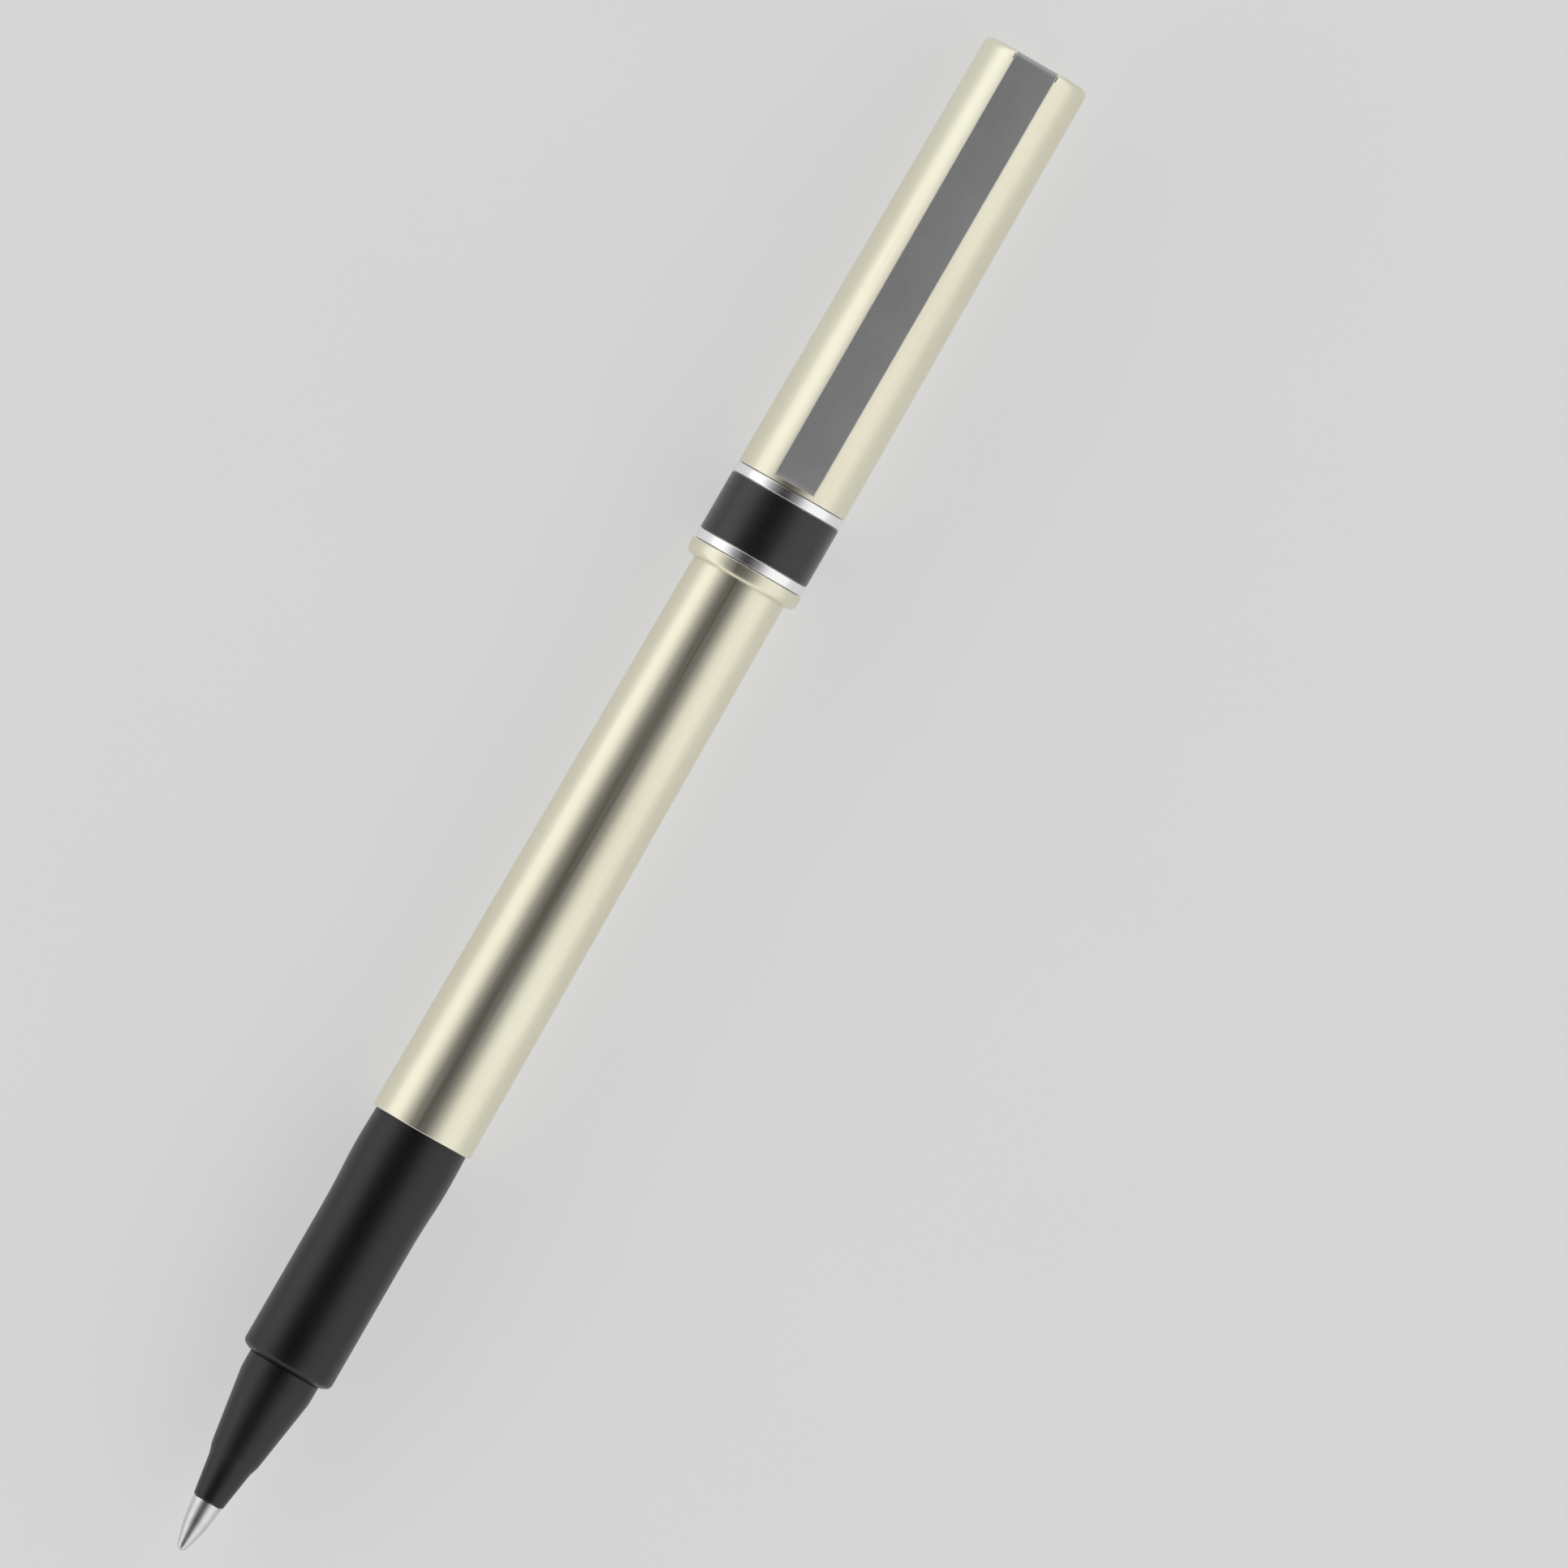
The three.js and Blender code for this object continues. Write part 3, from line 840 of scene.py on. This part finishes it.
def smooth_path(corners):
    """A line of (x, z) points through (x, z, bend) corners, each corner a smooth curve."""
    half_room = 0.48
    steps = 12
    points = [Vector(corners[0][:2])]
    for i in range(1, len(corners) - 1):
        here = Vector(corners[i][:2])
        before = Vector(corners[i - 1][:2]) - here
        after = Vector(corners[i + 1][:2]) - here
        reach = min(corners[i][2], half_room * before.length, half_room * after.length)
        points += curve(here + before.normalized() * reach, here, here + after.normalized() * reach, steps)
    points.append(Vector(corners[-1][:2]))
    return points


def divided(path, spacing):
    """The same line with more points, none further apart than the spacing."""
    points = []
    for a, b in zip(path, path[1:]):
        count = max(1, math.ceil((b - a).length / spacing))
        points += [a.lerp(b, i / count) for i in range(count)]
    return [*points, path[-1]]


def strip_section(width):
    """The clip's cross-section: a flat oblong with rounded corners, as (across, up, wear) points."""
    steps = 6
    points = []
    for side, up in ((1, 1), (-1, 1), (-1, -1), (1, -1)):
        for step in range(steps + 1):
            turn = math.radians(90 * step / steps)
            across, rise = math.cos(turn), math.sin(turn)
            if side * up < 0:
                across, rise = rise, across
            worn = float(0 < step < steps)
            y = side * (width / 2 - CLIP_EDGE * (1 - across))
            z = up * (CLIP_THICKNESS / 2 - CLIP_EDGE * (1 - rise))
            points.append((y, z, worn))
    return points


def make_clip():
    """One strip: through the plug, over the rim of the cap and along it to a lifted lip."""
    root_low, root_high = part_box("clip_root")
    arm_low, arm_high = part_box("clip_arm")
    half = CLIP_THICKNESS / 2
    width = root_high.y - root_low.y
    top = root_high.z - half
    leg = root_high.x - half
    contact = top - 0.2 * MM
    lip = arm_low.x + half / 2
    lip_height = arm_high.z - half - 0.05 * MM
    dip_start = arm_low.x + 10.9 * MM
    contact_back = arm_low.x + 4.3 * MM
    contact_front = arm_low.x + 2.6 * MM
    tab_bend = 0.5 * MM
    heel_bend = 0.45 * MM
    dip_bend = 2 * MM
    contact_bend = 1.2 * MM
    lip_bend = 1 * MM
    spacing = 0.8 * MM
    above_tab = AXIS_HEIGHT + 4 * MM
    bevel_angle = math.radians(60)
    path = smooth_path([
        (root_low.x, TAB_HEIGHT),
        (leg, TAB_HEIGHT, tab_bend),
        (leg, top, heel_bend),
        (dip_start, top, dip_bend),
        (contact_back, contact, contact_bend),
        (contact_front, contact, lip_bend),
        (lip, lip_height),
    ])
    stations = divided(path, spacing)
    last = len(stations) - 1
    arm_length = leg - lip
    verts = []
    wear = []
    faces = []
    for i, point in enumerate(stations):
        along = (stations[min(i + 1, last)] - stations[max(i - 1, 0)]).normalized()
        normal = Vector((-along.y, along.x))
        share = (leg - point.x) / arm_length if point.y > above_tab else 0
        section = strip_section(width + (CLIP_TIP_WIDTH - width) * share)
        for across, up, worn in section:
            spot = point + normal * up
            verts.append((spot.x, across, spot.y))
            wear.append(1.0 if i == last else worn)
        if i:
            row, count = i * len(section), len(section)
            for j in range(count):
                k = (j + 1) % count
                faces.append([row - count + j, row - count + k, row + k, row + j])
    count = len(section)
    faces.append(list(range(count)))
    faces.append([last * count + j for j in range(count)])
    piece = mesh_object("clip_surface", verts, faces, wear)
    soften = piece.modifiers.new("ends", "BEVEL")
    soften.width = CLIP_EDGE
    soften.segments = 3
    soften.limit_method = "ANGLE"
    soften.angle_limit = bevel_angle
    dress(piece, "clip_arm", "clip_root")
    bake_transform(piece)


make_ball()
make_point()
make_feed()
make_nose_cone()
make_collector()
make_feed_holder()
make_grip()
make_barrel()
make_tank()
make_ink()
make_tail_plug()
make_cap_tube()
make_trim()
make_ferrule()
make_sleeve()
make_inner_cap()
make_cap_end()
make_clip()


# ---------------------------------------------------------------- stage, light and camera

def make_floor():
    """A pale matte table that glows faintly, as a light table does, so that shadows stay soft."""
    reach = 3
    corners = [(-reach, -reach, 0), (reach, -reach, 0), (reach, reach, 0), (-reach, reach, 0)]
    mesh = bpy.data.meshes.new("floor")
    mesh.from_pydata(corners, [], [[0, 1, 2, 3]])
    floor = bpy.data.objects.new("floor", mesh)
    bpy.context.collection.objects.link(floor)
    paint = Paint("floor", Specular_IOR_Level=0.1, Emission_Strength=0.5)
    paint.shader.inputs["Emission Color"].default_value = (1, 1, 1, 1)
    tint = paint.noise(40)
    paint.colour(paint.ramp(tint, (0.325, 0.325, 0.326), (0.335, 0.335, 0.336)))
    paint.roughness(paint.remap(tint, 0.85, 0.95))
    mesh.materials.append(paint.material)


def make_world():
    """Studio light: a long soft box on each side of the pen, brighter towards +Y, and a dark gap overhead.

    The gap is darkest in a narrow strip along its middle.
    """
    world = bpy.data.worlds.new("studio")
    bpy.context.scene.world = world
    world.use_nodes = True
    nodes = world.node_tree.nodes
    link = world.node_tree.links.new
    direction = nodes.new("ShaderNodeTexCoord").outputs["Generated"]
    lean = math.radians(8)
    strength = 1.1
    bright_side = 1.1
    dim_side = 0.88
    ends_start = 0.84
    ends_full = 0.95
    ends_shade = (0.9, 0.9, 0.9, 1)

    def part_along(axis):
        """How much of the direction looked in lies along an axis."""
        node = nodes.new("ShaderNodeVectorMath")
        node.operation = "DOT_PRODUCT"
        node.inputs[1].default_value = axis
        link(direction, node.inputs[0])
        return node.outputs["Value"]

    def calculate(operation, first, second=None):
        """The result of a calculation on one output, or on it and a second output or number."""
        node = nodes.new("ShaderNodeMath")
        node.operation = operation
        link(first, node.inputs[0])
        if isinstance(second, float):
            node.inputs[1].default_value = second
        elif second:
            link(second, node.inputs[1])
        return node.outputs["Value"]

    def spread(value, start, end, low, high):
        """Numbers from low to high, as the value goes from its start to its end."""
        node = nodes.new("ShaderNodeMapRange")
        node.inputs["From Min"].default_value = start
        node.inputs["From Max"].default_value = end
        node.inputs["To Min"].default_value = low
        node.inputs["To Max"].default_value = high
        link(value, node.inputs["Value"])
        return node.outputs["Result"]

    aside = calculate("ABSOLUTE", part_along((0, math.cos(lean), -math.sin(lean))))
    overhead = part_along((0, math.sin(lean), math.cos(lean)))
    angle = calculate("ARCTAN2", aside, overhead)
    ramp = nodes.new("ShaderNodeValToRGB")
    shades = [
        (0, (0.02, 0.019, 0.021)),
        (9, (0.024, 0.023, 0.025)),
        (16, (0.13, 0.126, 0.133)),
        (30, (0.27, 0.264, 0.275)),
        (42, (0.78, 0.775, 0.78)),
        (54, (1, 1, 1)),
        (180, (1, 1, 1)),
    ]
    fill_ramp(ramp.color_ramp, [(degrees / 180, shade) for degrees, shade in shades])
    link(calculate("MULTIPLY", angle, 1 / math.pi), ramp.inputs["Fac"])
    endways = calculate("ABSOLUTE", part_along((1, 0, 0)))
    mix = nodes.new("ShaderNodeMix")
    mix.data_type = "RGBA"
    link(spread(endways, ends_start, ends_full, 0, 1), mix.inputs[0])
    link(ramp.outputs["Color"], mix.inputs[6])
    mix.inputs[7].default_value = ends_shade
    balance = spread(part_along((0, 1, 0)), -1, 1, dim_side, bright_side)
    uneven = nodes.new("ShaderNodeVectorMath")
    uneven.operation = "SCALE"
    link(mix.outputs[2], uneven.inputs[0])
    link(balance, uneven.inputs["Scale"])
    background = nodes["Background"]
    background.inputs["Strength"].default_value = strength
    link(uneven.outputs["Vector"], background.inputs["Color"])


def make_camera():
    """Straight above the pen with a long lens, rolled so that the pen rises to the right at 60 degrees."""
    lean = math.radians(60)
    view_width = 144.52 * MM
    aim_right = 16.13 * MM
    aim_up = 2.1 * MM
    long_lens = 600
    camera = bpy.data.cameras.new("camera")
    camera.lens = long_lens
    camera.clip_start = 10 * MM
    holder = bpy.data.objects.new("camera", camera)
    bpy.context.collection.objects.link(holder)
    right = Vector((math.cos(lean), -math.sin(lean), 0))
    up = Vector((math.sin(lean), math.cos(lean), 0))
    target = Vector((PEN_MIDDLE, 0, AXIS_HEIGHT)) + aim_right * right + aim_up * up
    distance = view_width * camera.lens / camera.sensor_width
    holder.location = target + Vector((0, 0, distance))
    holder.rotation_euler = (0, 0, -lean)
    bpy.context.scene.camera = holder


make_floor()
make_world()
make_camera()
bpy.context.scene.view_settings.view_transform = "Standard"
